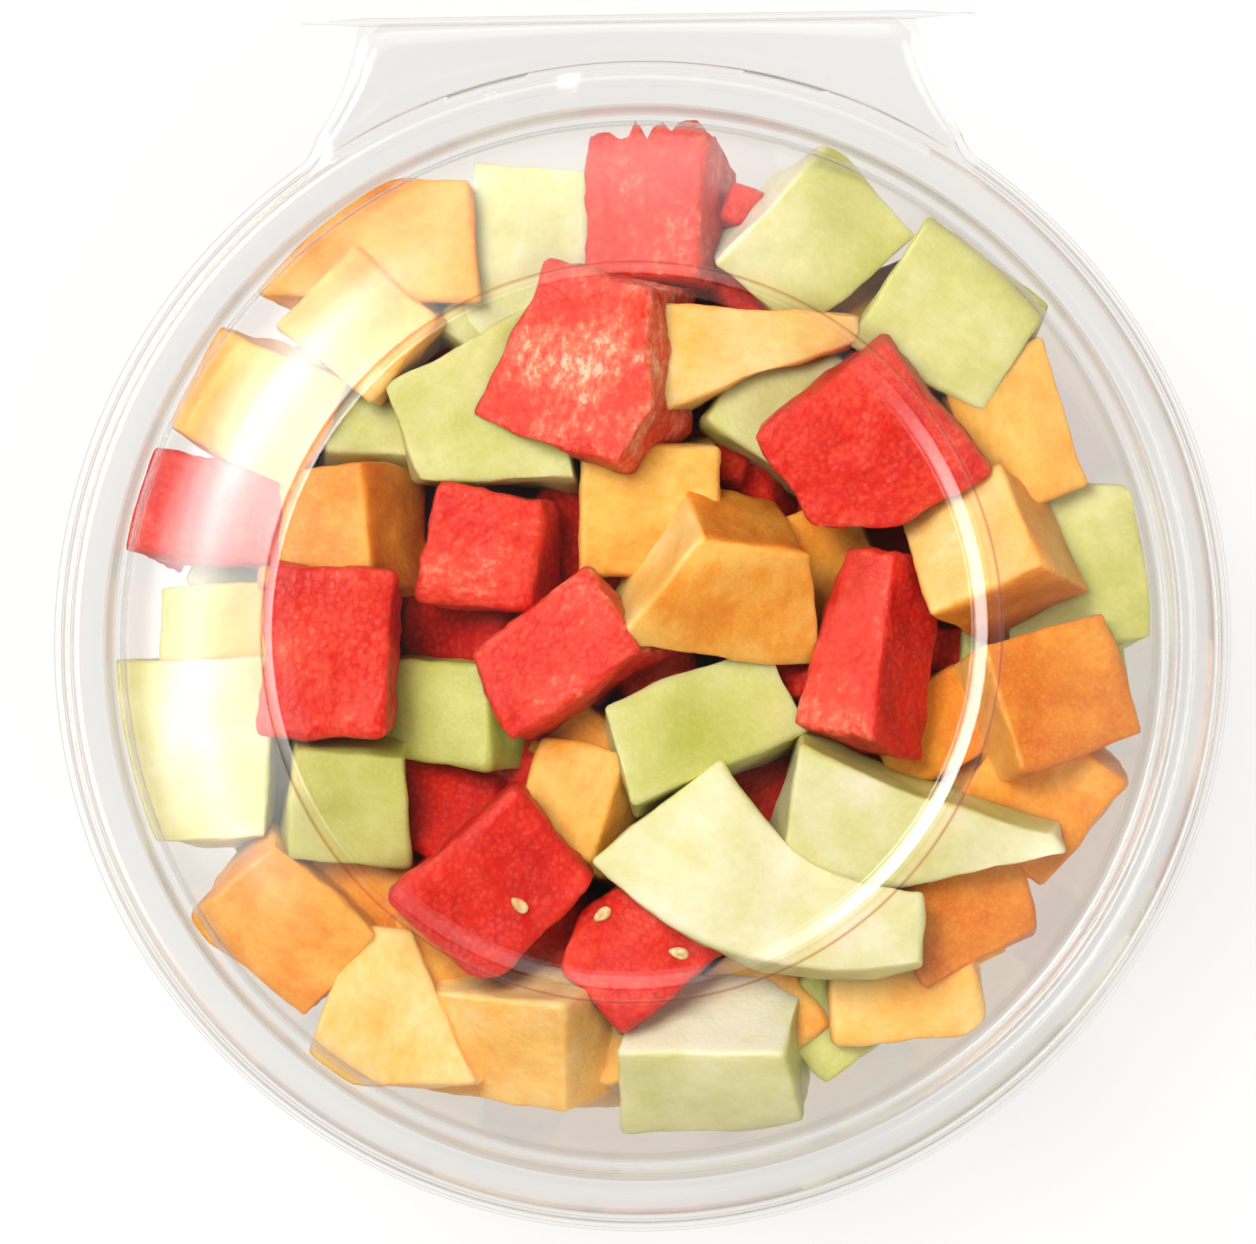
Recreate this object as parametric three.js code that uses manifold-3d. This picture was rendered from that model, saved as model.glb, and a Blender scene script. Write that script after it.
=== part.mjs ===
// A clear round clamshell bowl with a low domed lid, shut over a heap of cut melon.
// Millimetres, +Z up. The origin is the middle of the bowl's flat base and the hinge is at +Y.
import * as THREE from "three";
import { mergeVertices } from "three/addons/utils/BufferGeometryUtils.js";
import Module from "manifold-3d";

const wasm = await Module();
wasm.setup();

// Driving dimensions.
const RIM_RADIUS = 92.7; // outside of the lid's lip
const BOWL_HEIGHT = 58; // top of the bowl's flange
const LID_RISE = 18; // top of the lid's bead above the bowl's flange
const BASE_RADIUS = 66; // where the flat base would meet the wall without its round corner
const SKIN = 0.6; // thickness of the plastic
const GAP = 0.3; // kept between pieces that touch
const HINGE_Y = 97.9; // fold line of the hinge

// The rim, where the lid sits over the bowl.
const LIP_RADIUS = RIM_RADIUS - SKIN / 2;
const LIP_DROP = 2; // how far the lid's lip hangs below the flange
const BOWL_LIP_RADIUS = LIP_RADIUS - SKIN - 0.7;
const MOUTH_RADIUS = 84.7; // the bowl's wall just under its flange
const LEDGE_Z = BOWL_HEIGHT - 7; // a step in the wall that stops nested bowls from jamming
const LEDGE_WIDTH = 2;
const SEAL_BEAD = 1.6; // height of the lid's round bead over the flange
const SEAL_INNER = 84;
const SEAL_OUTER = 89;
const PLUG_RADIUS = 82.4; // channel of the lid that drops into the bowl's mouth
const PLUG_DEPTH = 1.7;

// The lid's top.
const DISC_RADIUS = 52.2; // flat middle of the lid
const DISC_DROP = 1.7; // how far the middle lies below the bead round it
const BEAD_WIDTH = 2.6;

// The hinge: a tab on the bowl and one on the lid, folded flat on each other.
const NECK_HALF_WIDTH = 44;
const FLARE_RADIUS = 40; // curve from the neck into the rim
const FOLD_BAR = { halfLength: 53.5, depth: 1.1, height: 3, earFront: 0.35, earBack: 0.95 };
const TAB_INNER_RADIUS = 90.2; // where the tabs grow out of the flanges
const TAB_CLEARANCE = 1.2; // how much smaller the bowl's tab is all round than the lid's

// The fruit.
const CUBE = 25; // side of a typical cube of melon
const HEAP_TOP = 67;
const HEAP_EDGE = { radius: 68, z: 65.5 }; // where the heap's top turns down towards the wall
const HEAP_SHOULDER = { radius: 78, z: 60 };
const CORE_INSET = 9; // how far the cubes stand out of the heap's middle
const HEAP_LAYERS = [
  { z: 12, rings: [{ radius: 50, count: 8 }] },
  { z: 32, rings: [{ radius: 57, count: 10 }] },
  {
    z: 52,
    rings: [
      { radius: 0, count: 1 },
      { radius: 24, count: 5 },
      { radius: 46, count: 9 },
      { radius: 66, count: 12 },
    ],
  },
];

const SEGMENTS = 40;
const ARC_STEP = THREE.MathUtils.degToRad(60);

// ---- lines and shells ----------------------------------------------------------------------

// A line through corners [radius, height, fillet], with each fillet drawn as an arc.
function roundedLine(corners) {
  const points = corners.map(([r, z]) => new THREE.Vector2(r, z));
  const line = [points[0]];
  for (let i = 1; i < points.length - 1; i++) {
    const fillet = corners[i][2] ?? 0;
    const towards = [points[i - 1], points[i + 1]].map((p) => p.clone().sub(points[i]).normalize());
    const turn = Math.PI - towards[0].angleTo(towards[1]);
    if (!fillet || turn < 1e-3) {
      line.push(points[i]);
      continue;
    }
    const reach = fillet * Math.tan(turn / 2);
    const bisector = towards[0].clone().add(towards[1]).normalize();
    const centre = points[i].clone().addScaledVector(bisector, fillet / Math.cos(turn / 2));
    const from = points[i].clone().addScaledVector(towards[0], reach).sub(centre);
    const side = Math.sign(towards[1].cross(towards[0]));
    const steps = Math.max(1, Math.round(turn / ARC_STEP));
    for (let s = 0; s <= steps; s++) {
      line.push(from.clone().rotateAround(new THREE.Vector2(), (side * turn * s) / steps).add(centre));
    }
  }
  line.push(points.at(-1));
  return line;
}

// The line moved sideways by a distance, to its left as it runs.
function offsetLine(line, distance) {
  return line.map((p, i) => {
    const before = line[Math.max(i - 1, 0)];
    const after = line[Math.min(i + 1, line.length - 1)];
    const into = p.clone().sub(before).normalize();
    const out = after.clone().sub(p).normalize();
    const along = into.clone().add(out).normalize();
    const stretch = 1 / Math.max(0.5, along.dot(i ? into : out));
    return p.clone().add(new THREE.Vector2(-along.y, along.x).multiplyScalar(distance * stretch));
  });
}

function latheSolid(profile, segments = SEGMENTS) {
  return solidOf(new THREE.LatheGeometry(profile, segments).rotateX(Math.PI / 2));
}

// A skin of plastic round a line that starts on the axis.
function shellSolid(line) {
  const outer = offsetLine(line, -SKIN / 2);
  const inner = offsetLine(line, SKIN / 2);
  return latheSolid([...outer, ...inner.reverse()]);
}

// ---- three.js geometry to manifold solids and back -------------------------------------------

function solidOf(geometry) {
  const positions = new THREE.BufferGeometry();
  positions.setAttribute("position", geometry.getAttribute("position"));
  if (geometry.index) positions.setIndex(geometry.index);
  const merged = mergeVertices(positions, 1e-4);
  const vertProperties = merged.getAttribute("position").array;
  const triVerts = new Uint32Array(merged.index.array);
  return new wasm.Manifold(new wasm.Mesh({ numProp: 3, vertProperties, triVerts }));
}

function geometryOf(solid) {
  const { vertProperties, triVerts } = solid.getMesh();
  const geometry = new THREE.BufferGeometry();
  geometry.setAttribute("position", new THREE.BufferAttribute(vertProperties, 3));
  geometry.setIndex(new THREE.BufferAttribute(triVerts, 1));
  geometry.computeVertexNormals();
  return geometry;
}

// A flat outline given thickness, with its underside at z.
function plate(shape, z, depth) {
  const options = { depth, bevelEnabled: false, curveSegments: 6 };
  return new THREE.ExtrudeGeometry(shape, options).translate(0, 0, z);
}

// ---- the lid and the bowl -------------------------------------------------------------------

function bowlLine() {
  const ledgeOuter = MOUTH_RADIUS - 0.4;
  return roundedLine([
    [0, SKIN / 2],
    [BASE_RADIUS, SKIN / 2, 7],
    [ledgeOuter - LEDGE_WIDTH, LEDGE_Z, 0.8],
    [ledgeOuter, LEDGE_Z + 1, 0.8],
    [MOUTH_RADIUS, BOWL_HEIGHT - SKIN / 2, 0.7],
    [BOWL_LIP_RADIUS, BOWL_HEIGHT - SKIN / 2, 0.9],
    [BOWL_LIP_RADIUS + 0.1, BOWL_HEIGHT - LIP_DROP - 1],
  ]);
}

function lidLine() {
  const flange = BOWL_HEIGHT + GAP + SKIN / 2;
  const top = BOWL_HEIGHT + LID_RISE - SKIN / 2;
  const shoulder = DISC_RADIUS + BEAD_WIDTH + 1.4;
  return roundedLine([
    [0, top - DISC_DROP],
    [DISC_RADIUS, top - DISC_DROP, 0.8],
    [DISC_RADIUS + 0.9, top, 0.9],
    [DISC_RADIUS + BEAD_WIDTH, top, 0.9],
    [shoulder, top - 1, 1],
    [shoulder + 12, top - 4.2, 26],
    [PLUG_RADIUS - 3.4, flange + 5.2, 16],
    [PLUG_RADIUS - 0.4, flange - PLUG_DEPTH, 0.5],
    [PLUG_RADIUS + 0.6, flange - PLUG_DEPTH, 0.5],
    [SEAL_INNER, flange + SEAL_BEAD, 1.1],
    [SEAL_OUTER, flange + SEAL_BEAD, 1.5],
    [SEAL_OUTER + 0.6, flange, 0.5],
    [LIP_RADIUS, flange, 0.8],
    [LIP_RADIUS, BOWL_HEIGHT - LIP_DROP],
  ]);
}

// Outline of a hinge tab seen from above: a neck that flares into the rim.
function tabShape(backY, grow = 0) {
  const rim = RIM_RADIUS + grow;
  const flare = FLARE_RADIUS - grow;
  const flareX = NECK_HALF_WIDTH + FLARE_RADIUS;
  const flareY = Math.sqrt((rim + flare) ** 2 - flareX ** 2);
  const rimAngle = Math.atan2(flareY, flareX);
  const cutAngle = Math.asin(Math.max(0, flareY - backY) / flare);
  const neckX = flareX - flare * Math.cos(cutAngle);
  const shape = new THREE.Shape();
  shape.moveTo(-neckX, backY);
  shape.lineTo(neckX, backY);
  shape.absarc(flareX, flareY, flare, Math.PI + cutAngle, Math.PI + rimAngle, false);
  shape.absarc(0, 0, TAB_INNER_RADIUS, rimAngle, Math.PI - rimAngle, false);
  shape.absarc(-flareX, flareY, flare, -rimAngle, -cutAngle, false);
  return shape;
}

// The bar along the fold, whose ends stand out past the neck as two small ears.
function foldBar() {
  const { halfLength, depth, height, earFront, earBack } = FOLD_BAR;
  const rightHalf = [
    [NECK_HALF_WIDTH, 0],
    [halfLength, earFront],
    [halfLength, earBack],
    [NECK_HALF_WIDTH, depth],
  ];
  const leftHalf = rightHalf.map(([x, y]) => [-x, y]).reverse();
  const bar = new THREE.Shape([...rightHalf, ...leftHalf].map(([x, y]) => new THREE.Vector2(x, y)));
  return plate(bar, BOWL_HEIGHT + GAP + SKIN - height, height).translate(0, HINGE_Y, 0);
}

function bowlSolid() {
  const intoBar = 0.2;
  const tab = solidOf(plate(tabShape(HINGE_Y + intoBar, -TAB_CLEARANCE), BOWL_HEIGHT - SKIN, SKIN));
  return shellSolid(bowlLine()).add(tab).add(solidOf(foldBar()));
}

// The lid's lip is cut away where the bowl's tab passes under it.
function lidSolid() {
  const under = BOWL_HEIGHT + GAP;
  const cut = 3 * LIP_DROP;
  const tab = solidOf(plate(tabShape(HINGE_Y - GAP), under, SKIN));
  const tabRoom = solidOf(plate(tabShape(HINGE_Y + cut), under - cut, cut));
  return shellSolid(lidLine()).subtract(tabRoom).add(tab);
}

// ---- the fruit ------------------------------------------------------------------------------

// Radius of the space inside the bowl at a height, a gap away from its wall.
function roomRadius(z) {
  const top = MOUTH_RADIUS - 0.4 - LEDGE_WIDTH;
  return THREE.MathUtils.lerp(BASE_RADIUS, top, z / LEDGE_Z) - SKIN - GAP;
}

// Everything the fruit may fill, moved in by an inset: up the wall, then under the lid's dome.
function room(inset) {
  const floor = SKIN + GAP;
  const corner = 8;
  const line = [
    [0, floor + inset],
    [roomRadius(corner) - corner - inset, floor + inset],
    [roomRadius(corner) - inset, floor + corner + inset],
    [roomRadius(LEDGE_Z) - inset, LEDGE_Z + 1],
    [HEAP_SHOULDER.radius - inset, HEAP_SHOULDER.z - inset / 2],
    [HEAP_EDGE.radius - inset, HEAP_EDGE.z - inset],
    [0, HEAP_TOP - inset],
  ];
  return latheSolid(line.map(([r, z]) => new THREE.Vector2(r, z)), 30);
}

// A number from 0 to 1 that looks random and is the same on every run.
function scatter(seed) {
  const s = Math.sin(seed * 12.9898) * 43758.5453;
  return s - Math.floor(s);
}

// A cube of melon, cut a little out of square: its top is smaller than its base and shifted.
function cubeOfMelon(seed) {
  const [length, width, height] = [0.1, 0.2, 0.3].map((k) => CUBE * (0.82 + 0.36 * scatter(seed + k)));
  const taper = 0.7 + 0.3 * scatter(seed + 0.4);
  const cube = new THREE.BoxGeometry(length, width, height);
  const corners = cube.getAttribute("position");
  for (let i = 0; i < corners.count; i++) {
    if (corners.getZ(i) > 0) corners.setX(i, corners.getX(i) * taper + 1);
  }
  const turns = [0.5, 0.6, 0.7].map((k) => scatter(seed + k));
  cube.rotateX((turns[0] - 0.5) * 0.8).rotateY((turns[1] - 0.5) * 0.8);
  return cube.rotateZ(turns[2] * Math.PI);
}

// Cubes stand out of a smooth core all round and on top, and are trimmed to the space inside.
function heapSolid() {
  const cubes = HEAP_LAYERS.flatMap(({ z, rings }) =>
    rings.flatMap(({ radius, count }) =>
      Array.from({ length: count }, (_, i) => {
        const seed = z * 7 + radius + i;
        const angle = ((i + scatter(seed) * 0.5) / count) * 2 * Math.PI;
        const height = z + 3 * (scatter(seed + 0.9) - 0.5);
        const place = [radius * Math.cos(angle), radius * Math.sin(angle), height];
        return solidOf(cubeOfMelon(seed).translate(...place));
      }),
    ),
  );
  const heap = cubes.reduce((sum, cube) => sum.add(cube), room(CORE_INSET)).intersect(room(0));
  return outsideOf(heap);
}

// The biggest closed surface of a solid, which leaves out the hollows sealed inside it.
function outsideOf(solid) {
  return solid.decompose().reduce((best, part) => (part.volume() > best.volume() ? part : best));
}

// ---- the object -----------------------------------------------------------------------------

function piece(name, solid, look) {
  const mesh = new THREE.Mesh(geometryOf(solid), new THREE.MeshStandardMaterial(look));
  mesh.name = name;
  return mesh;
}

const clearPlastic = { color: 0xeef2f2, roughness: 0.06, metalness: 0, transparent: true, opacity: 0.25 };
const melon = { color: 0xf29a55, roughness: 0.4, metalness: 0 };

const fruitSalad = new THREE.Group();
fruitSalad.add(piece("bowl", bowlSolid(), clearPlastic));
fruitSalad.add(piece("lid", lidSolid(), clearPlastic));
fruitSalad.add(piece("fruit", heapSolid(), melon));

export default fruitSalad;
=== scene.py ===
"""A shut clear clamshell bowl of cut melon, seen from almost straight above.

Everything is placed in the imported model's frame. Shapes are worked out in millimetres and
scaled to metres when their mesh is made.
"""

import math
import random

import bpy
import numpy as np
from mathutils import Matrix, Vector, noise
from mathutils.bvhtree import BVHTree


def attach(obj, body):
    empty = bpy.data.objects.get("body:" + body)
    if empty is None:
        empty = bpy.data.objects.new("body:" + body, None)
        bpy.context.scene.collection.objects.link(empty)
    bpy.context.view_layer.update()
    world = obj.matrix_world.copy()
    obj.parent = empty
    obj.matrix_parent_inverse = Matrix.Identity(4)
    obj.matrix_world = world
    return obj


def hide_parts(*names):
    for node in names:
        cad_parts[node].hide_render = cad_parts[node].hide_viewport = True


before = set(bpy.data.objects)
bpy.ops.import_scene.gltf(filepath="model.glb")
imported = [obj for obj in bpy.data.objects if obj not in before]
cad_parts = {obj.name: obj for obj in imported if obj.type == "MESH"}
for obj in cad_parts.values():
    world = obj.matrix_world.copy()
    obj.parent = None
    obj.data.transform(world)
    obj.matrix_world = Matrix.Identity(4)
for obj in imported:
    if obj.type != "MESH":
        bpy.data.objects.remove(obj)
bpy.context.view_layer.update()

MM = 0.001

# ---- sizes in mm ---------------------------------------------------------------------------

SHEET = 0.5  # thickness of the clear plastic
BOWL_HEIGHT = 58.0
LID_TOP = 75.7
RIM_RADIUS = 92.4
BOWL_RIM_RADIUS = 91.1
HINGE_Y = 97.9
NECK_HALF_WIDTH = 44.0
FLARE_RADIUS = 40.0
BAR_HALF_LENGTH = 53.5
BAR_SIDES = 16
BAR_HALF_WIDTH = 0.55
BAR_HALF_HEIGHT = 1.5
LIP = 1.1  # width of the rounded lip along a rim
BASE_Z = 0.6
BOWL_FLANGE_Z = BOWL_HEIGHT - 0.3
LID_FLANGE_Z = BOWL_HEIGHT + 0.6
AROUND = 288  # columns round a shell
LONGEST_ROW = 6.0
ARC_STEP = math.radians(8)
TAB_CORNERS = np.radians([-39.3, -24.35, 24.35, 39.3])  # where the tab's edge turns, from +Y
# Painted refraction: thin warm brown lines are painted on the lid at these radii, standing in for the
# fruit's colours and shade bent by the plastic at the ring's sharp bends.
PAINTED_REFRACTION_RADII = (53.9, 55.6, 56.9)  # sharp bends of the lid's raised ring, which show darker
PAINTED_REFRACTION_WIDTH = 0.22

BASE_RADIUS = 66.0
BASE_CORNER = 9.0
LEDGE_RADIUS = 82.3
LEDGE_Z = 51.0
WALL_GAP = 1.1  # fruit to the middle of the plastic
FLOOR_GAP = 1.3
# The bowl's wall as (height, radius), and how high the fruit may reach as (radius, height).
WALL_LINE = [(0.0, BASE_RADIUS), (LEDGE_Z, LEDGE_RADIUS), (LEDGE_Z + 1, 84.3), (BOWL_FLANGE_Z, 84.7)]
ROOM_TOP = [(0.0, 67.5), (60.0, 67.0), (72.0, 63.5), (78.0, 59.5), (81.0, 56.2), (84.0, 55.8)]

CORE_RADIUS = 56
CORE_MIDDLE = 20
CORE_HALF_HEIGHT = 15
SEEDS = [(-18, -42, 70), (-5.5, -43.5, 100), (6.5, -49.5, 30)]  # x, y and turn in degrees
SEED_HALF_LENGTH = 1.6
SEED_HALF_WIDTH = 0.95
SEED_HALF_HEIGHT = 0.55
SEED_LIFT = 0.2

# ---- meshes --------------------------------------------------------------------------------


def mesh_object(name, points, faces, material, attributes=None, flat=False):
    """An object from points in mm and lists of corners, with values stored at its points."""
    mesh = bpy.data.meshes.new(name)
    mesh.from_pydata((np.asarray(points) * MM).tolist(), [], [list(f) for f in faces])
    for key, values in (attributes or {}).items():
        values = np.asarray(values, np.float32)
        kind, field = ("FLOAT", "value") if values.ndim == 1 else ("FLOAT_VECTOR", "vector")
        mesh.attributes.new(key, kind, "POINT").data.foreach_set(field, values.ravel())
    mesh.polygons.foreach_set("use_smooth", [not flat] * len(mesh.polygons))
    mesh.validate()
    mesh.update()
    mesh.materials.append(material)
    obj = bpy.data.objects.new(name, mesh)
    bpy.context.scene.collection.objects.link(obj)
    return obj


def point_normals(points, quads):
    """Unit normals at the points of a mesh of quads."""
    a, b, c, d = (points[quads[:, i]] for i in range(4))
    across = np.cross(c - a, d - b)
    total = np.zeros_like(points)
    for i in range(4):
        np.add.at(total, quads[:, i], across)
    return total / np.maximum(np.linalg.norm(total, axis=1), 1e-9)[:, None]


# ---- the clear shells ----------------------------------------------------------------------


def rounded_line(corners):
    """Points [radius, height] through corners (radius, height, fillet), fillets as arcs."""
    spots = [Vector(c[:2]) for c in corners]
    line = [spots[0]]
    for i in range(1, len(spots) - 1):
        fillet = corners[i][2]
        back = (spots[i - 1] - spots[i]).normalized()
        on = (spots[i + 1] - spots[i]).normalized()
        turn = math.pi - back.angle(on)
        reach = fillet * math.tan(turn / 2)
        centre = spots[i] + (back + on).normalized() * (fillet / math.cos(turn / 2))
        start = spots[i] + back * reach - centre
        side = -1 if back.x * on.y - back.y * on.x < 0 else 1
        steps = max(2, round(turn / ARC_STEP))
        for s in range(steps + 1):
            angle = -side * turn * s / steps
            cos, sin = math.cos(angle), math.sin(angle)
            line.append(centre + Vector((start.x * cos - start.y * sin, start.x * sin + start.y * cos)))
    return np.array([list(p) for p in [*line, spots[-1]]])


def with_rows(line, longest):
    """The line with points added so that no stretch is longer than a length."""
    rows = [line[0]]
    for a, b in zip(line[:-1], line[1:]):
        parts = max(1, math.ceil(float(np.linalg.norm(b - a)) / longest))
        rows.extend(a + (b - a) * s / parts for s in range(1, parts + 1))
    return np.array(rows)


def tab_radius(angle, rim, back_y):
    """How far the edge is from the axis at an angle from +Y: round the rim, then the hinge tab."""
    flare = FLARE_RADIUS + RIM_RADIUS - rim
    flare_x = NECK_HALF_WIDTH + FLARE_RADIUS
    centre = Vector((flare_x, math.sqrt((rim + flare) ** 2 - flare_x**2)))
    if abs(angle) >= math.atan2(centre.x, centre.y):
        return rim
    ray = Vector((math.sin(abs(angle)), math.cos(angle)))
    towards = ray.dot(centre)
    inside = towards**2 - centre.length_squared + flare**2
    to_flare = towards - math.sqrt(inside) if inside > 0 else math.inf
    return min(to_flare, back_y / ray.y)


def smooth_step(low, high, value):
    t = min(1.0, max(0.0, (value - low) / (high - low)))
    return t * t * (3 - 2 * t)


def columns():
    """Angles from +Y round a shell, with closer ones where the hinge tab leaves the rim."""
    angles = np.linspace(-math.pi, math.pi, AROUND, endpoint=False)
    for corner in TAB_CORNERS:
        angles[np.argmin(np.abs(angles - corner))] = corner
    return angles


def shell_sheet(line, rim, flange_z, drop, back_y, ridge):
    """Points by row and column: a turned line, then a flange whose edge is a lip or the tab.

    drop is how far the lip reaches down and ridge how high the rim goes on across the tab.
    """
    angles = columns()
    lip = [(rim - LIP, 0.0), (rim - 0.5, 0.1), (rim - 0.15, 0.4)]
    lip += [(rim, 0.9), (rim, drop * 0.6), (rim, drop)]
    rows = []
    for radius, z in line:
        rows.append([(radius * math.sin(a), radius * math.cos(a), z) for a in angles])
    for k, (radius, down) in enumerate(lip):
        row = []
        for a in angles:
            edge = tab_radius(a, rim, back_y)
            share = smooth_step(0.3, 2.5, edge - rim)
            along = k / (len(lip) - 1)
            tab_r = rim - LIP + (edge - rim + LIP) * along**1.5
            r = radius + (tab_r - radius) * share
            bump = ridge * math.exp(-(((r - rim) / 0.6) ** 2)) * share
            row.append((r * math.sin(a), r * math.cos(a), flange_z - down * (1 - share) + bump))
        rows.append(row)
    return np.array(rows)


def shell_mesh(rows, thickness):
    """A skin round a sheet of rows: its outside, its inside and the strip along its edge."""
    count, wide, _ = rows.shape
    sheet = np.concatenate([rows[:1, 0], rows[1:].reshape(-1, 3)])
    index = 1 + np.arange((count - 1) * wide).reshape(count - 1, wide)
    after = np.roll(index, -1, axis=1)
    quads = np.stack([index[:-1], after[:-1], after[1:], index[1:]], axis=-1).reshape(-1, 4)
    fan = [(0, int(a), int(b)) for a, b in zip(index[0], after[0])]
    fan_quads = np.array([(0, *f) for f in fan])
    normals = point_normals(sheet, np.concatenate([quads[:, ::-1], fan_quads]))
    normals[0] = (0, 0, 1)
    total = len(sheet)
    points = np.concatenate([sheet + normals * thickness / 2, sheet - normals * thickness / 2])
    faces = [tuple(q[::-1]) for q in quads.tolist()] + fan
    faces += [tuple(c + total for c in f[::-1]) for f in faces]
    edge, beside = index[-1], after[-1]
    faces += [(b, a, a + total, b + total) for a, b in zip(edge.tolist(), beside.tolist())]
    return points, faces


def bowl_line():
    """The bowl's section from the axis out: base, wall, ledge, collar and flange."""
    base = BASE_Z - SHEET / 2
    line = rounded_line(
        [
            (0, base, 0),
            (BASE_RADIUS, base, 7),
            (LEDGE_RADIUS, LEDGE_Z, 0.8),
            (LEDGE_RADIUS + 2.0, LEDGE_Z + 0.3, 0.5),
            (84.7, BOWL_FLANGE_Z, 0.7),
            (BOWL_RIM_RADIUS - LIP, BOWL_FLANGE_Z, 0),
        ]
    )
    return with_rows(line, LONGEST_ROW)


def lid_line():
    """The lid's section from the axis out: flat top, raised ring, dome, groove, bead and flange."""
    line = rounded_line(
        [
            (0, LID_TOP - 1.7, 0),
            (52.3, LID_TOP - 1.7, 0.4),
            (52.8, LID_TOP - 1.05, 0.4),
            (54.9, LID_TOP, 0.8),
            (56.6, LID_TOP - 1.0, 0.4),
            (57.0, LID_TOP - 1.9, 0.4),
            (68.2, LID_TOP - 4.2, 26),
            (80.2, LID_FLANGE_Z + 5.4, 5),
            (82.0, LID_FLANGE_Z - 1.7, 0.5),
            (83.0, LID_FLANGE_Z - 1.7, 0.5),
            (84.0, LID_FLANGE_Z + 1.6, 0.5),
            (89.0, LID_FLANGE_Z + 1.6, 1.5),
            (89.7, LID_FLANGE_Z, 0.5),
            (RIM_RADIUS - LIP, LID_FLANGE_Z, 0),
        ]
    )
    return with_rows(line, LONGEST_ROW)


def squared(value):
    """A sine or cosine changed so that a round outline gets flatter sides."""
    return math.copysign(abs(value) ** 0.6, value)


def fold_bar():
    """The bar along the fold, with a small ear past each end of the neck."""
    middle_y = HINGE_Y + BAR_HALF_WIDTH
    middle_z = BOWL_HEIGHT + 0.9 - BAR_HALF_HEIGHT
    stations = [(-BAR_HALF_LENGTH, 0.25), (-49.0, 0.4), (-NECK_HALF_WIDTH, 1.0), (0.0, 1.0)]
    stations += [(-x, s) for x, s in stations[-2::-1]]
    points, faces = [], []
    for x, size in stations:
        for i in range(BAR_SIDES):
            turn = 2 * math.pi * i / BAR_SIDES
            y = middle_y + BAR_HALF_WIDTH * size * squared(math.cos(turn))
            z = middle_z + BAR_HALF_HEIGHT * size * squared(math.sin(turn))
            points.append((x, y, z))
    for i in range(len(stations) - 1):
        for j in range(BAR_SIDES):
            a, b = i * BAR_SIDES + j, i * BAR_SIDES + (j + 1) % BAR_SIDES
            faces.append((a, a + BAR_SIDES, b + BAR_SIDES, b))
    faces.append(tuple(range(BAR_SIDES)))
    faces.append(tuple(reversed(range(len(points) - BAR_SIDES, len(points)))))
    return points, faces


# ---- melon ---------------------------------------------------------------------------------


def axis_marks(half, rounding, step):
    """Places along one side of a block: close over its rounded ends, even between them."""
    inner = half - rounding
    count = max(3, round(2 * inner / step))
    ends = inner + rounding * np.array([0.35, 0.7, 1.0])
    return np.concatenate([-ends[::-1], np.linspace(-inner, inner, count + 1), ends])


def block_grid(size, rounding, step):
    """Points and quads of a box with round edges, as a grid on each of its sides."""
    half = np.array(size, float) / 2
    marks = [axis_marks(h, rounding, step) for h in half]
    shape = tuple(len(m) for m in marks)
    skin = np.ones(shape, bool)
    skin[1:-1, 1:-1, 1:-1] = False
    index = np.full(shape, -1)
    index[skin] = np.arange(skin.sum())
    points = np.stack([g[skin] for g in np.meshgrid(*marks, indexing="ij")], axis=-1)
    core = np.clip(points, rounding - half, half - rounding)
    out = points - core
    points = core + out * (rounding / np.linalg.norm(out, axis=1))[:, None]
    quads = []
    for axis in range(3):
        for side in (0, -1):
            sheet = np.moveaxis(index, axis, 0)[side]
            q = np.stack([sheet[:-1, :-1], sheet[1:, :-1], sheet[1:, 1:], sheet[:-1, 1:]], axis=-1)
            q = q.reshape(-1, 4)
            quads.append(q if (side == -1) == (axis != 1) else q[:, ::-1])
    return points, np.concatenate(quads)


def turned(roll, pitch, yaw):
    """Rotation matrix of a block: rolled about its length, pitched, then turned about +Z."""
    turns = [Matrix.Rotation(math.radians(a), 3, axis) for a, axis in zip((yaw, pitch, roll), "ZYX")]
    return np.array(turns[0] @ turns[1] @ turns[2])


def below(distance, softness=0.45):
    """A distance kept under zero with a round corner instead of a sharp one."""
    return -softness * np.logaddexp(0, -distance / softness)


def wobble(points, size, seed, stretch=(1, 1, 1)):
    """Smooth noise from -1 to 1 at the points, with lumps of a size in mm."""
    scaled = points * (np.array(stretch) / size) + seed * 7.31
    return np.array([noise.noise(Vector(p)) for p in scaled.tolist()])


RELIEF = {  # (height, size of its lumps) in mm
    "watermelon": [(1.0, 9.0), (0.45, 3.2), (0.25, 1.6)],
    "cantaloupe": [(1.0, 12.0), (0.35, 4.0), (0.12, 1.6)],
    "honeydew": [(1.1, 13.0), (0.32, 4.5), (0.12, 1.7)],
}
ROUNDING = {"watermelon": 1.3, "cantaloupe": 0.9, "honeydew": 0.9}


def inside_bowl(points):
    """The points moved in from the bowl's wall, its floor and the lid's dome."""
    radius = np.maximum(np.hypot(points[:, 0], points[:, 1]), 1e-6)
    z = np.maximum(points[:, 2], FLOOR_GAP)
    ceiling = np.interp(radius, *zip(*ROOM_TOP))
    z = ceiling + below(z - ceiling)
    wall = np.interp(z, *zip(*WALL_LINE)) - WALL_GAP
    in_corner = np.maximum(BASE_CORNER - z, 0)
    wall -= BASE_CORNER - np.sqrt(np.maximum(BASE_CORNER**2 - in_corner**2, 0))
    kept = wall + below(radius - wall)
    moved = points * (kept / radius)[:, None]
    moved[:, 2] = z
    return moved


def bent(points, length, sag):
    """The points of a block bent along its length, so that its middle moves sag to +Y."""
    if not sag:
        return points
    turn = 1 if sag > 0 else -1
    radius = (length**2 / 4 + sag**2) / (2 * abs(sag))
    reach = radius + turn * points[:, 1]
    angle = points[:, 0] / radius
    x = reach * np.sin(angle)
    y = turn * (reach * np.cos(angle) - radius * math.cos(length / 2 / radius))
    return np.stack([x, y, points[:, 2]], axis=1)


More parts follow.
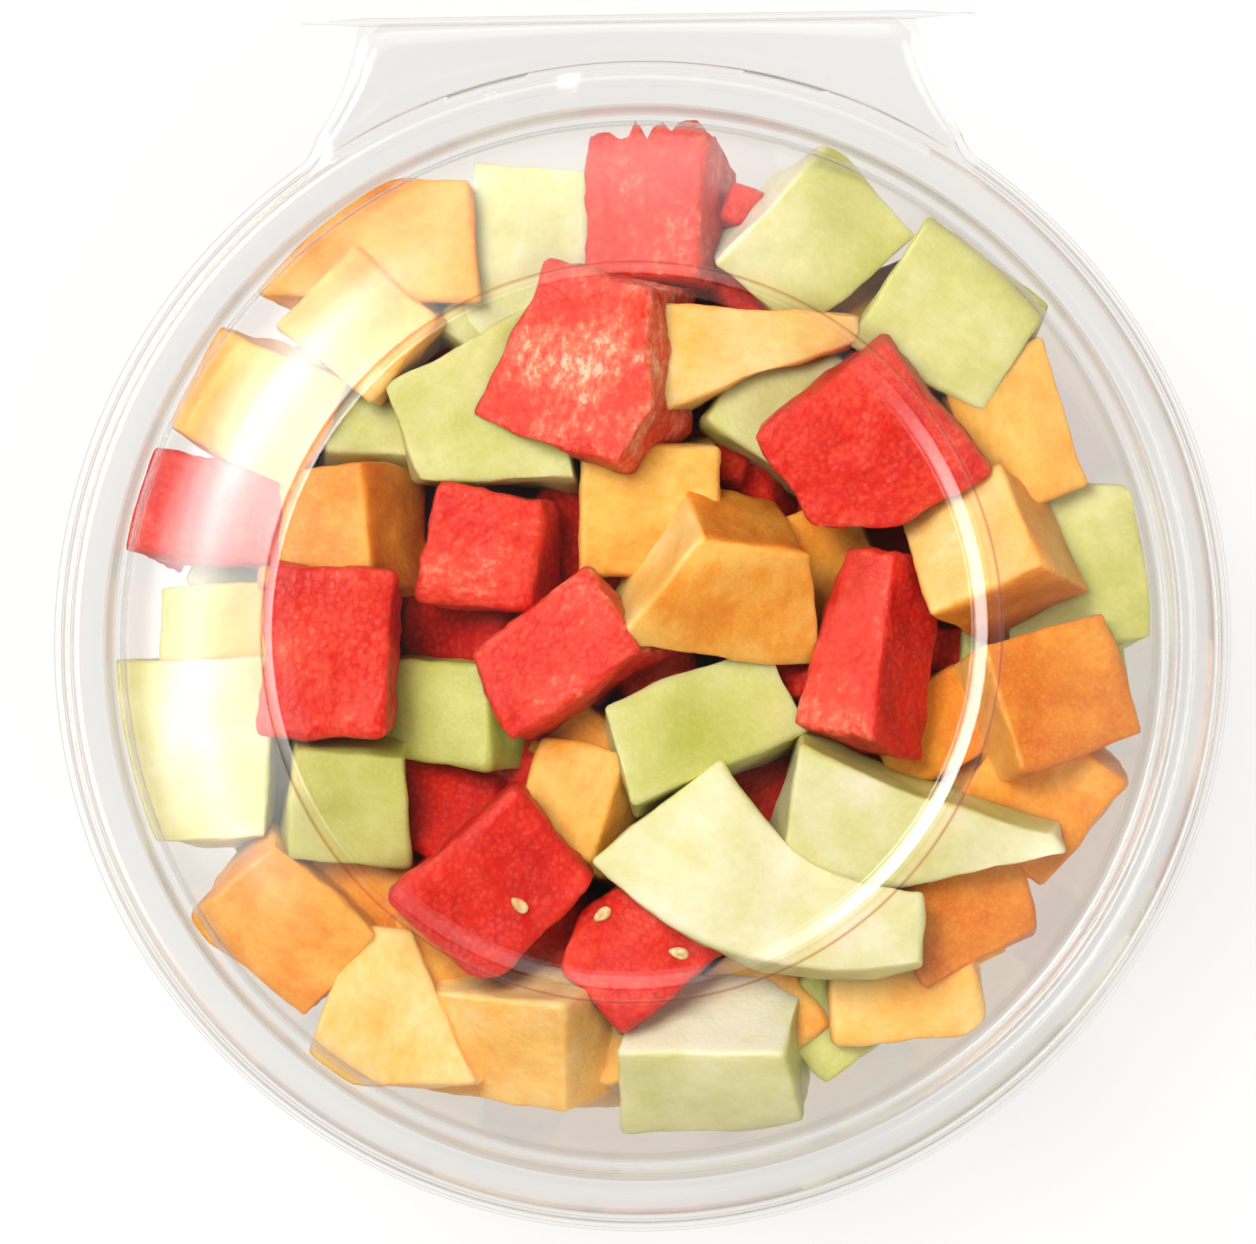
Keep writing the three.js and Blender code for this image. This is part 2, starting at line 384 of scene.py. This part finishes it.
def chunk(
    kind,
    place,
    size,
    turn,
    seed,
    end=1.0,
    top=1.0,
    bend=0.0,
    cuts=(),
    torn=0.0,
    tone=0.0,
    sides=None,
    spot=None,
    step=1.25,
):
    """One cut piece of melon: its points in mm, quads and the values its material reads.

    end is the width at +X over the width at -X, top the size of the top over the base, bend how
    far the middle is pushed to +Y, cuts are (angle, distance) of upright cuts across it, and torn
    is how ragged the +X end is. The tone given is how pale it is, partly the flesh's own tone and
    partly painted light and shade. sides adds to that on its -X, +X, -Y, +Y, -Z and +Z sides, also
    partly painted light and shade with lit faces paler and shaded ones deeper, and spot is a paler
    or deeper place (x, y, radius, amount) on its top.
    """
    rounding = min(ROUNDING[kind], min(size) * 0.2)
    points, quads = block_grid(size, rounding, step)
    half = np.array(size, float) / 2
    local = points / half
    draw = random.Random(seed)
    # These tones are partly painted light and shade, lit faces made paler and shaded faces deeper, and
    # partly the flesh's own paler and deeper sides, drawn at random where none are given.
    side_tone_and_shade = sides or [draw.uniform(-0.3, 0.3) for _ in range(6)]
    outward = point_normals(points, quads)
    tone_and_shade_values = np.full(len(points), float(tone))
    for axis in range(3):
        for turned_to, face_tone_and_shade in ((-1, side_tone_and_shade[axis * 2]), (1, side_tone_and_shade[axis * 2 + 1])):
            tone_and_shade_values += face_tone_and_shade * np.maximum(outward[:, axis] * turned_to, 0) ** 2
    if spot:
        away = np.hypot(points[:, 0] - spot[0], points[:, 1] - spot[1]) / spot[2]
        tone_and_shade_values += spot[3] * np.exp(-(away**2)) * (local[:, 2] > 0)
    along = local[:, 0] * 0.5 + 0.5
    points[:, 1] *= (2 + (2 * end - 2) * along) / (1 + end)
    lift = local[:, 2] * 0.5 + 0.5
    points[:, :2] *= (1 + (top - 1) * lift)[:, None]
    skew = np.array([[draw.uniform(-0.07, 0.07) for _ in range(3)] for _ in range(3)])
    points += (local[:, [1, 2, 0]] * local[:, [2, 0, 1]]) @ (skew * half)
    if torn:
        rags = wobble(points * np.array([0.1, 1, 0.4]), 2.2, seed)
        points[:, 0] += torn * rags * np.clip(along * 4 - 3, 0, 1)
    points = bent(points, size[0], bend)
    for angle, distance in cuts:
        facing = np.array([math.cos(math.radians(angle)), math.sin(math.radians(angle)), 0])
        past = points @ facing - distance
        points += np.outer(below(past) - past, facing)
    normals = point_normals(points, quads)
    rise = sum(height * wobble(points, lump, seed + i) for i, (height, lump) in enumerate(RELIEF[kind]))
    points += normals * rise[:, None]
    values = {
        "tone": tone_and_shade_values,
        "flesh": points + np.array([seed * 37.0, seed * 11.0, seed * 23.0]) % 400,
    }
    placed = points @ turned(*turn).T + np.array(place, float)
    return inside_bowl(placed), quads, values


# Kind, middle in mm, length, width and height in mm, turn in degrees, and what sets it apart.
W, C, H = "watermelon", "cantaloupe", "honeydew"
# Their tones and sides are partly painted light and shade: pieces lying low or under others are made
# deeper, and faces turned to the light paler.
TOP_CHUNKS = [
    (
        W, (-6, 42.5, 54.5), (32, 26, 20), (-16, -4, 76),
        dict(end=0.62, top=0.95, cuts=[(167, 14.2), (-111, 14.6)], tone=0.35, spot=(-1, 2, 8, 0.6)),
    ),
    (C, (18.5, 47, 51), (32, 11, 16), (6, 4, 8), dict(end=0.25, tone=0.6)),
    (H, (-25, 35.8, 50), (27, 22, 16), (0, 0, 11), dict(end=1.8, tone=0.0)),
    (W, (-23.5, 14.5, 50), (19, 18, 17), (4, -6, -8), dict(tone=0.15)),
    (
        C, (-47.5, 18, 49), (22, 21, 18), (0, -24, 0),
        dict(top=0.85, tone=-0.4, sides=(0, -0.3, -0.4, 0, 0, 0.1)),
    ),
    (W, (-48.3, -2, 55), (26, 20, 18), (0, -3, 87), dict(tone=-0.15)),
    (H, (-29, -11, 45), (22, 17, 18), (6, -24, -8), dict(tone=-0.9, sides=(0, -0.3, 0, 0, 0, 0.1))),
    (W, (-12, -2.5, 53), (25, 17, 16), (-4, -8, 35), dict(tone=0.2)),
    (C, (1.8, 21, 47), (20.5, 22, 18), (6, 0, 0), dict(tone=0.1)),
    (H, (26, 36.5, 45), (27, 21, 17), (0, 6, -36), dict(tone=-0.1)),
    (W, (36.5, 30.5, 55), (26, 25, 20), (12, -10, 33), dict(cuts=[(-123, 11.5)], tone=-0.1)),
    (C, (29, 12, 42), (17, 18, 16), (0, 0, 20), dict(tone=-0.1)),
    (C, (14.3, 10.3, 54), (19.5, 25, 20), (-20, 28, -107), dict(end=2.2, sides=(-0.7, 0, 0.7, 0, 0, 0.0))),
    (H, (9.5, -14.5, 50), (29, 16, 15), (-8, 12, 23), dict(tone=0.1, spot=(-3, -1, 9, -0.9))),
    (W, (-22, -38, 54), (25, 20, 19), (10, -6, 44), dict(end=0.9, cuts=[(-134, 13.5)], tone=-0.1)),
    (W, (-0.5, -48.5, 49), (22, 19, 16), (0, 0, 40), dict(cuts=[(120, 9.3)], tone=-0.3)),
    (
        H, (23.5, -37, 52), (49, 18, 17), (-8, 0, -25),
        dict(end=0.45, bend=-7, tone=0.4, sides=(-0.3, 0, -0.2, -0.6, 0, 0.2)),
    ),
    (
        H, (44.5, -28.5, 52), (44, 13.5, 15), (14, 3, -5),
        dict(end=0.12, bend=-1.5, tone=0.3, sides=(0, 0, 0, -0.8, 0, 0.1)),
    ),
    (H, (-46.5, -25, 51), (19, 19, 17), (14, 10, -2), dict(tone=-0.9)),
    (C, (-56, -44, 49), (24, 18, 17), (8, 12, -40), dict(tone=-0.3)),
    (C, (-40, -58, 47), (26, 19, 17), (0, 0, 94), dict(end=0.35, tone=0.6)),
    (C, (-20, -62, 48), (27, 19, 15), (26, -22, -10), dict(tone=0.7)),
    (
        H, (11.5, -66.3, 45), (28, 17, 19), (-50, -4, -3),
        dict(cuts=[(130, 13)], tone=0.3, sides=(0, -0.9, -0.1, 0, 0, 0.8)),
    ),
    (H, (30, -60, 40), (15, 15, 14), (0, 0, 40), dict(tone=-0.7)),
    (C, (42, -57, 42), (24, 12, 16), (0, 0, 3), dict(tone=0.2)),
    (C, (50, -44, 43), (22, 16, 16), (0, 10, 25), dict(tone=-1.0)),
    (C, (64, -9.5, 49), (22, 20, 18), (0, 20, 20), dict(tone=-0.7, sides=(0.8, 0, 0, 0, 0, 0))),
    (C, (46, -14, 42), (18, 15, 15), (0, 0, 30), dict(tone=-0.6)),
    (W, (37.5, -2, 53.5), (31, 13.5, 14), (-38, 4, 78), dict(end=0.55, sides=(0, 0, -0.7, 0, 0, 0.3))),
    (C, (56, 13, 54), (19, 19, 19), (-20, -20, 28), dict(sides=(0, 0.0, -0.7, 0, 0, 0.7))),
    (C, (58, 33.5, 46), (24, 17, 18), (6, -4, 105), dict(tone=0.4)),
    (H, (49.5, 50.5, 48), (24, 22, 17), (0, 4, -35), dict(tone=-0.3)),
    (
        H, (26.5, 64, 48), (20, 25, 18), (0, 18, -45),
        dict(sides=(0.7, 0, 0, 0, 0, -0.6), spot=(-6, -8, 9, 1.0)),
    ),
    (W, (3, 69, 47), (25, 20, 18), (-14, 4, 88), dict(torn=5.0, tone=0.2)),
    (H, (-17, 62, 44), (27, 20, 18), (0, 0, 88), dict(tone=0.2)),
    (C, (-42, 64, 47), (33, 18, 18), (0, -6, -4), dict(sides=(-0.7, 0, 0, 0, 0, 0))),
    (C, (-43, 51, 50), (20, 18, 18), (10, 0, -42), dict(tone=0.3)),
    (C, (-61, 38, 49), (24, 20, 18), (6, 6, -25), dict(tone=0.2)),
    (W, (-71, 21.5, 46), (27, 17, 17), (0, 0, -8), dict()),
    (C, (-67, 3, 42), (20, 13, 16), (0, 0, 4), dict(tone=0.3)),
    (H, (-72, -17.5, 45), (27, 30, 18), (0, 0, 0), dict(tone=0.2)),
    (H, (70, 12, 41), (24, 27, 18), (0, 0, 2), dict(tone=-0.4)),
]
# Pieces seen only in the gaps between those above: kind, middle and size in mm.
GAP_CHUNKS = [
    (W, (16.5, 69, 47), 6),
    (W, (-28, 4, 37), 18),
    (W, (-10, 20, 36), 18),
    (W, (9, 33, 33), 18),
    (W, (15, 25, 32), 16),
    (W, (-2, 7, 40), 14),
    (W, (-33, -27, 40), 18),
    (W, (-13, -48, 42), 14),
    (W, (20, -23, 34), 16),
    (W, (-16, -18, 42), 14),
    (W, (48, -4, 36), 16),
    (W, (24, -6, 42), 12),
    (W, (2, -7, 41), 13),
    (C, (-9, -27, 47), 17),
    (C, (-9, -17, 43), 13),
    (C, (-43, -38, 43), 17),
    (C, (-33, -50, 43), 17),
    (C, (64, -24, 42), 19),
    (H, (-45, 36, 43), 18),
    (H, (-24, 52, 44), 16),
]
# Layers that show through the wall and the base: middle height, ring radius and count in mm.
HIDDEN_RINGS = [(13.5, 55.5, 13), (13.0, 30.0, 7), (13.0, 7.0, 2), (34.0, 62.5, 15)]


def hidden_chunks():
    """Rows for the layers under the top one, drawn from a seeded list of kinds and sizes."""
    draw = random.Random(11)
    rows = []
    for z, radius, count in HIDDEN_RINGS:
        kinds = [(W, C, H)[i % 3] for i in range(count)]
        draw.shuffle(kinds)
        for i, kind in enumerate(kinds):
            angle = 2 * math.pi * (i + draw.uniform(-0.15, 0.15)) / count
            size = [draw.uniform(20, 26) for _ in range(3)]
            roll, pitch = draw.uniform(-14, 14), draw.uniform(-14, 14)
            turn = (roll, pitch, math.degrees(angle) + draw.uniform(-25, 25))
            spot = (radius * math.cos(angle), radius * math.sin(angle), z + draw.uniform(-1.5, 1.5))
            end, top = draw.uniform(0.7, 1.0), draw.uniform(0.8, 1.0)
            shape = dict(end=end, top=top, tone=draw.uniform(-0.4, 0.4), step=2.0)
            rows.append((kind, spot, size, turn, shape))
    return rows


def gap_chunks():
    """Rows for the small pieces low in the gaps, each turned its own way, with a deeper tone as painted
    shade.
    """
    draw = random.Random(5)
    rows = []
    for kind, spot, size in GAP_CHUNKS:
        turn = [draw.uniform(-20, 20), draw.uniform(-20, 20), draw.uniform(0, 90)]
        sizes = [size * draw.uniform(0.9, 1.1) for _ in range(3)]
        # The deeper tone here is painted shade, for pieces that sit in the shaded gaps.
        rows.append((kind, spot, sizes, turn, dict(tone=-0.3, step=1.6)))
    return rows


def melon_piece(kind, rows, material):
    """All the chunks of one kind as one mesh."""
    parts = [chunk(*row[:4], seed, **row[4]) for seed, row in enumerate(rows, 1) if row[0] == kind]
    starts = np.cumsum([0] + [len(points) for points, _, _ in parts])
    points = np.concatenate([p for p, _, _ in parts])
    quads = np.concatenate([q + s for (_, q, _), s in zip(parts, starts)])
    values = {key: np.concatenate([v[key] for _, _, v in parts]) for key in parts[0][2]}
    return mesh_object(kind, points, quads.tolist(), material, values)


def ball_mesh(rows, wide, place):
    """A closed mesh with the topology of a globe; place turns a unit vector into a point."""
    spots = [Vector((0, 0, 1))]
    for i in range(1, rows):
        t = math.pi * i / rows
        turns = [2 * math.pi * j / wide for j in range(wide)]
        wide_here, high = math.sin(t), math.cos(t)
        spots += [Vector((wide_here * math.cos(a), wide_here * math.sin(a), high)) for a in turns]
    spots.append(Vector((0, 0, -1)))
    faces = []
    last = len(spots) - 1
    for j in range(wide):
        k = (j + 1) % wide
        faces.append((0, 1 + j, 1 + k))
        faces.append((last, last - wide + k, last - wide + j))
        for i in range(rows - 2):
            a, b = 1 + i * wide + j, 1 + i * wide + k
            faces.append((a, a + wide, b + wide, b))
    return [tuple(place(spot)) for spot in spots], faces


def core_piece(material):
    """A lumpy mass of wet fruit low in the middle of the bowl, under and behind the chunks."""

    def place(spot):
        lump = 1 + 0.10 * noise.noise(spot * 3.1) + 0.05 * noise.noise(spot * 7.7)
        wide, high = CORE_RADIUS * lump, CORE_HALF_HEIGHT * lump
        return Vector((wide * spot.x, wide * spot.y, CORE_MIDDLE + high * spot.z))

    return mesh_object("core", *ball_mesh(26, 72, place), material)


# ---- materials -----------------------------------------------------------------------------


class Nodes:
    """Short calls for building a node tree."""

    def __init__(self, name, world=False):
        if world:
            self.owner = bpy.data.worlds.new(name)
        else:
            self.owner = bpy.data.materials.new(name)
        self.owner.use_nodes = True
        self.tree = self.owner.node_tree
        self.tree.nodes.clear()

    def add(self, kind, inputs=None, **settings):
        node = self.tree.nodes.new(kind)
        for key, value in settings.items():
            setattr(node, key, value)
        for key, value in (inputs or {}).items():
            if isinstance(value, bpy.types.NodeSocket):
                self.tree.links.new(value, node.inputs[key])
            else:
                node.inputs[key].default_value = value
        return node

    def ramp(self, factor, stops):
        node = self.add("ShaderNodeValToRGB", {"Fac": factor})
        ramp = node.color_ramp
        while len(ramp.elements) < len(stops):
            ramp.elements.new(0.5)
        for element, (position, colour) in zip(ramp.elements, stops):
            element.position = position
            element.color = (*colour, 1) if isinstance(colour, tuple) else (colour, colour, colour, 1)
        return node.outputs["Color"]

    def math(self, operation, a, b=0.0):
        return self.add("ShaderNodeMath", {0: a, 1: b}, operation=operation).outputs[0]

    def mix(self, factor, a, b):
        node = self.add("ShaderNodeMix", {"Factor": factor}, data_type="RGBA")
        for socket, value in ((node.inputs[6], a), (node.inputs[7], b)):
            if isinstance(value, bpy.types.NodeSocket):
                self.tree.links.new(value, socket)
            else:
                socket.default_value = (*value, 1)
        return node.outputs[2]


def rgb(red, green, blue):
    """Linear colour from 0 to 255 values as seen on a screen."""
    return tuple(((v / 255 + 0.055) / 1.055) ** 2.4 if v > 10 else v / 3294.6 for v in (red, green, blue))


def flesh_material(name, stops, speck, grain, veins, bump, glow, roughness):
    """Melon flesh: pale and deep places, partly its own and partly painted light and shade from the tone
    attribute, specks and fibres, a wet uneven gloss.

    stops are the colours from deep to pale, speck is (strength, colour), grain how fine the cells
    are, veins how much the fibres show and glow how far light goes in, in mm.
    """
    n = Nodes(name)
    flesh = n.add("ShaderNodeAttribute", attribute_name="flesh").outputs["Vector"]
    tone = n.add("ShaderNodeAttribute", attribute_name="tone").outputs["Fac"]
    broad = n.add("ShaderNodeTexNoise", {"Vector": flesh, "Scale": 0.09, "Detail": 3.0}).outputs["Fac"]
    fibre_space = n.add("ShaderNodeMapping", {"Vector": flesh, "Scale": (0.75, 1.0, 1.0)}).outputs[0]
    fibre = n.add(
        "ShaderNodeTexNoise",
        {"Vector": fibre_space, "Scale": 0.6, "Detail": 6.0, "Roughness": 0.75},
    )
    cells = n.add("ShaderNodeTexVoronoi", {"Vector": flesh, "Scale": grain, "Randomness": 1.0})
    # The tone attribute brings painted light and shade along with the flesh's own paler and deeper places.
    mixed = n.math("ADD", n.math("MULTIPLY", broad, 0.9), n.math("MULTIPLY", tone, 0.4))
    mixed = n.math("ADD", mixed, n.math("MULTIPLY", fibre.outputs["Fac"], veins))
    base = n.ramp(n.math("SUBTRACT", mixed, veins / 2 - 0.05), stops)
    dots = n.ramp(cells.outputs["Distance"], [(0.0, 1.0), (0.55, 0.0)])
    colour = n.mix(n.math("MULTIPLY", dots, speck[0]), base, speck[1])
    height = n.math("ADD", n.math("MULTIPLY", cells.outputs["Distance"], 0.6), fibre.outputs["Fac"])
    relief = n.add("ShaderNodeBump", {"Height": height, "Strength": bump, "Distance": 0.0006})
    wet = n.add("ShaderNodeTexNoise", {"Vector": flesh, "Scale": 0.35, "Detail": 2.0}).outputs["Fac"]
    rough = n.math("ADD", n.math("MULTIPLY", wet, 0.3), roughness - 0.15)
    skin = n.add(
        "ShaderNodeBsdfPrincipled",
        {
            "Base Color": colour,
            "Roughness": rough,
            "Subsurface Weight": 0.8,
            "Subsurface Radius": glow,
            "Subsurface Scale": 0.001,
            "IOR": 1.4,
            "Normal": relief.outputs[0],
        },
        subsurface_method="BURLEY",
    )
    out = n.add("ShaderNodeOutputMaterial")
    n.tree.links.new(skin.outputs[0], out.inputs[0])
    return n.owner


def plastic_material(name):
    """Clear thin plastic: it lets light straight through, mirrors more and tints more edge on, with warm
    brown lines painted where the lid's ring bends as painted refraction.
    """
    n = Nodes(name)
    facing = n.add("ShaderNodeLayerWeight", {"Blend": 0.5}).outputs["Facing"]
    mirrored = n.math("ADD", n.math("MULTIPLY", n.math("POWER", facing, 5.0), 0.9), 0.04)
    tint = n.mix(n.math("POWER", facing, 3.0), (0.994, 0.992, 0.988), (0.87, 0.8, 0.73))
    # Painted refraction: the lines at the ring's bends are tinted warm brown in place of fruit colours and
    # shade seen bent through the plastic.
    painted_refraction = n.add("ShaderNodeAttribute", attribute_name="painted_refraction").outputs["Fac"]
    tint = n.mix(painted_refraction, tint, (0.84, 0.63, 0.48))
    clear = n.add("ShaderNodeBsdfTransparent", {"Color": tint})
    gloss = n.add("ShaderNodeBsdfGlossy", {"Roughness": 0.0})
    both = n.add("ShaderNodeMixShader", {0: mirrored, 1: clear.outputs[0], 2: gloss.outputs[0]})
    out = n.add("ShaderNodeOutputMaterial")
    n.tree.links.new(both.outputs[0], out.inputs[0])
    return n.owner


def seed_material():
    n = Nodes("melon_seed")
    place = n.add("ShaderNodeTexCoord").outputs["Object"]
    spots = n.add("ShaderNodeTexNoise", {"Vector": place, "Scale": 900.0, "Detail": 2.0}).outputs["Fac"]
    colour = n.ramp(spots, [(0.35, rgb(214, 160, 90)), (0.65, rgb(250, 226, 170))])
    shell = n.add("ShaderNodeBsdfPrincipled", {"Base Color": colour, "Roughness": 0.35})
    out = n.add("ShaderNodeOutputMaterial")
    n.tree.links.new(shell.outputs[0], out.inputs[0])
    return n.owner


watermelon_look = flesh_material(
    "watermelon_flesh",
    [
        (0.0, rgb(194, 14, 8)),
        (0.4, rgb(226, 34, 18)),
        (0.65, rgb(239, 66, 42)),
        (0.85, rgb(248, 124, 92)),
        (1.0, rgb(255, 204, 170)),
    ],
    speck=(0.14, rgb(252, 150, 118)),
    grain=1.0,
    veins=1.3,
    bump=0.6,
    glow=(4.0, 0.8, 0.5),
    roughness=0.36,
)
cantaloupe_look = flesh_material(
    "cantaloupe_flesh",
    [
        (0.0, rgb(214, 98, 10)),
        (0.35, rgb(240, 150, 46)),
        (0.65, rgb(250, 190, 92)),
        (1.0, rgb(255, 224, 158)),
    ],
    speck=(0.12, rgb(255, 214, 150)),
    grain=1.3,
    veins=0.5,
    bump=0.25,
    glow=(4.5, 2.2, 0.8),
    roughness=0.42,
)
honeydew_look = flesh_material(
    "honeydew_flesh",
    [
        (0.0, rgb(180, 180, 76)),
        (0.35, rgb(206, 202, 116)),
        (0.65, rgb(227, 220, 158)),
        (1.0, rgb(247, 240, 212)),
    ],
    speck=(0.1, rgb(244, 238, 196)),
    grain=1.2,
    veins=0.4,
    bump=0.22,
    glow=(3.5, 3.2, 1.4),
    roughness=0.4,
)
lid_plastic = plastic_material("lid_clear_plastic")
bowl_plastic = plastic_material("bowl_clear_plastic")

# ---- the object ----------------------------------------------------------------------------

all_rows = TOP_CHUNKS + gap_chunks() + hidden_chunks()
LOOKS = {W: watermelon_look, C: cantaloupe_look, H: honeydew_look}
melons = {kind: melon_piece(kind, all_rows, look) for kind, look in LOOKS.items()}
core = core_piece(watermelon_look)


def seed_piece():
    """Pale seeds lying on the watermelon, found by looking down at it."""
    tree = BVHTree.FromObject(melons[W], bpy.context.evaluated_depsgraph_get())
    points, faces = [], []
    for x, y, turn in SEEDS:
        hit, facing, _, _ = tree.ray_cast(Vector((x, y, 90)) * MM, Vector((0, 0, -1)))
        if hit is None:
            continue
        stand = facing.to_track_quat("Z", "Y").to_matrix() @ Matrix.Rotation(math.radians(turn), 3, "Z")

        def place(spot):
            across = SEED_HALF_WIDTH * spot.x * (1 - 0.3 * spot.z)
            drop = Vector((SEED_HALF_LENGTH * spot.z, across, SEED_LIFT + SEED_HALF_HEIGHT * spot.y))
            return hit / MM + stand @ drop

        first = len(points)
        seed_points, seed_faces = ball_mesh(8, 12, place)
        points += seed_points
        faces += [tuple(c + first for c in f) for f in seed_faces]
    return mesh_object("seeds", points, faces, seed_material())


seeds = seed_piece()

lid_rows = shell_sheet(
    lid_line(), rim=RIM_RADIUS, flange_z=LID_FLANGE_Z, drop=2.6, back_y=HINGE_Y - 0.3, ridge=0.35
)
lid_points, lid_faces = shell_mesh(lid_rows, SHEET)
lid_radii = np.hypot(lid_points[:, 0], lid_points[:, 1])
# Where the lid gets its painted refraction lines, by radius.
painted_refraction_lines = sum(np.exp(-(((lid_radii - r) / PAINTED_REFRACTION_WIDTH) ** 2)) for r in PAINTED_REFRACTION_RADII)
lid = mesh_object("lid_shell", lid_points, lid_faces, lid_plastic, {"painted_refraction": painted_refraction_lines})
bowl_rows = shell_sheet(
    bowl_line(), rim=BOWL_RIM_RADIUS, flange_z=BOWL_FLANGE_Z, drop=2.7, back_y=HINGE_Y + 0.15, ridge=0.0
)
bowl_points, bowl_faces = shell_mesh(bowl_rows, SHEET)
bar_points, bar_faces = fold_bar()
bowl_faces = bowl_faces + [tuple(c + len(bowl_points) for c in f) for f in bar_faces]
bowl = mesh_object("bowl_shell", np.concatenate([bowl_points, bar_points]), bowl_faces, bowl_plastic)

for piece in (*melons.values(), seeds, core, bowl):
    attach(piece, "tub")
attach(lid, "lid")
for piece in (*melons.values(), core):
    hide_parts("fruit")
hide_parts("bowl")
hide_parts("lid")

# ---- floor, light and camera ---------------------------------------------------------------


def floor_material():
    n = Nodes("pale_floor")
    place = n.add("ShaderNodeTexCoord").outputs["Object"]
    cloud = n.add("ShaderNodeTexNoise", {"Vector": place, "Scale": 4.0, "Detail": 1.0}).outputs["Fac"]
    colour = n.ramp(cloud, [(0.3, 0.19), (0.7, 0.21)])
    skin = n.add(
        "ShaderNodeBsdfPrincipled",
        {
            "Base Color": colour,
            "Roughness": 0.9,
            "Specular IOR Level": 0.1,
            "Emission Color": (1.0, 0.985, 0.965, 1),
            "Emission Strength": 0.78,
        },
    )
    out = n.add("ShaderNodeOutputMaterial")
    n.tree.links.new(skin.outputs[0], out.inputs[0])
    return n.owner


FLOOR_HALF = 6000
floor_corners = [(FLOOR_HALF * x, FLOOR_HALF * y, 0) for x, y in ((-1, -1), (1, -1), (1, 1), (-1, 1))]
floor = mesh_object("floor", floor_corners, [(0, 1, 2, 3)], floor_material(), flat=True)

LIGHT_AIM = Vector((0, 0, 50))


def area_light(name, place, size, power):
    """A square soft box in mm at a place, facing the bowl and not seen in reflections."""
    data = bpy.data.lights.new(name, "AREA")
    data.shape = "RECTANGLE"
    data.size = data.size_y = size * MM
    data.energy = power
    obj = bpy.data.objects.new(name, data)
    obj.location = Vector(place) * MM
    obj.rotation_euler = (LIGHT_AIM - Vector(place)).to_track_quat("-Z", "Y").to_euler()
    obj.visible_glossy = False
    obj.visible_camera = False
    obj.visible_transmission = False
    bpy.context.scene.collection.objects.link(obj)


area_light("overhead", place=(-260, 260, 850), size=420, power=9.5)
area_light("fill", place=(380, -400, 750), size=600, power=4.5)

surroundings = Nodes("soft_studio", world=True)
direction = surroundings.add("ShaderNodeTexCoord").outputs["Generated"]
x_way, y_way, up = surroundings.add("ShaderNodeSeparateXYZ", {0: direction}).outputs
# What the plastic mirrors: pale near the horizon and dark overhead, so the fruit shows through.
sky = surroundings.ramp(up, [(0.0, 1.0), (0.4, 0.7), (0.86, 0.4), (0.96, 0.05)])
around = surroundings.math("ARCTAN2", y_way, surroundings.math("MULTIPLY", x_way, -1.0))


def soft_box(side_low, side_high, side_soft, up_low, up_high, up_soft, strength):
    """A bright patch of the world with soft edges: angles from -X towards +Y, and heights."""
    patch = strength
    sideways = (around, side_low, side_high, side_soft)
    upwards = (up, up_low, up_high, up_soft)
    for value, low, high, soft in (sideways, upwards):
        for edge, inner in ((low, 1), (high, -1)):
            limits = {0: value, 1: edge - soft * inner, 2: edge + soft * inner}
            slope = surroundings.add("ShaderNodeMapRange", limits, interpolation_type="SMOOTHSTEP")
            patch = surroundings.math("MULTIPLY", slope.outputs[0], patch)
    return patch


# Soft boxes seen only in reflections, as the arguments of soft_box.
SOFT_BOXES = [
    (-0.3, 0.8, 0.3, 0.28, 0.92, 0.08, 9.0),  # wide, on the left
    (-0.45, 0.95, 0.25, 0.5, 0.78, 0.2, 9.0),  # brighter middle of the first
    (0.35, 0.85, 0.3, 0.6, 0.86, 0.2, 20.0),  # hot spot, upper left
    (0.8, 1.9, 0.4, 0.2, 0.92, 0.1, 2.4),  # faint, at the back
]
bright = 1.0
for box in SOFT_BOXES:
    bright = surroundings.math("ADD", soft_box(*box), bright)
glow = surroundings.add("ShaderNodeBackground", {"Color": sky, "Strength": bright})
world_out = surroundings.add("ShaderNodeOutputWorld")
surroundings.tree.links.new(glow.outputs[0], world_out.inputs[0])
scene = bpy.context.scene
scene.world = surroundings.owner
# Only the two lights and the glow of the floor light the fruit; the world is for reflections.
scene.world.cycles_visibility.diffuse = False
scene.world.cycles.sampling_method = "NONE"

CAMERA_AIM = Vector((-1.335, 2.356, 58.0))
CAMERA_FROM = Vector((0.07, -0.07, 1.0)).normalized()
CAMERA_DISTANCE = 650
CAMERA_SENSOR = 36
CAMERA_LENS = 118.6
camera_data = bpy.data.cameras.new("camera")
camera_data.sensor_width = CAMERA_SENSOR
camera_data.lens = CAMERA_LENS
camera = bpy.data.objects.new("camera", camera_data)
camera.location = (CAMERA_AIM + CAMERA_FROM * CAMERA_DISTANCE) * MM
side = Vector((0, 1, 0)).cross(CAMERA_FROM).normalized()
upward = CAMERA_FROM.cross(side)
camera.rotation_euler = Matrix((side, upward, CAMERA_FROM)).transposed().to_euler()
scene.collection.objects.link(camera)
scene.camera = camera

scene.view_settings.view_transform = "Standard"
scene.cycles.max_bounces = 4
scene.cycles.transparent_max_bounces = 12
scene.cycles.glossy_bounces = 1
scene.cycles.diffuse_bounces = 1
scene.cycles.use_denoising = True
scene.cycles.caustics_reflective = False
scene.cycles.caustics_refractive = False
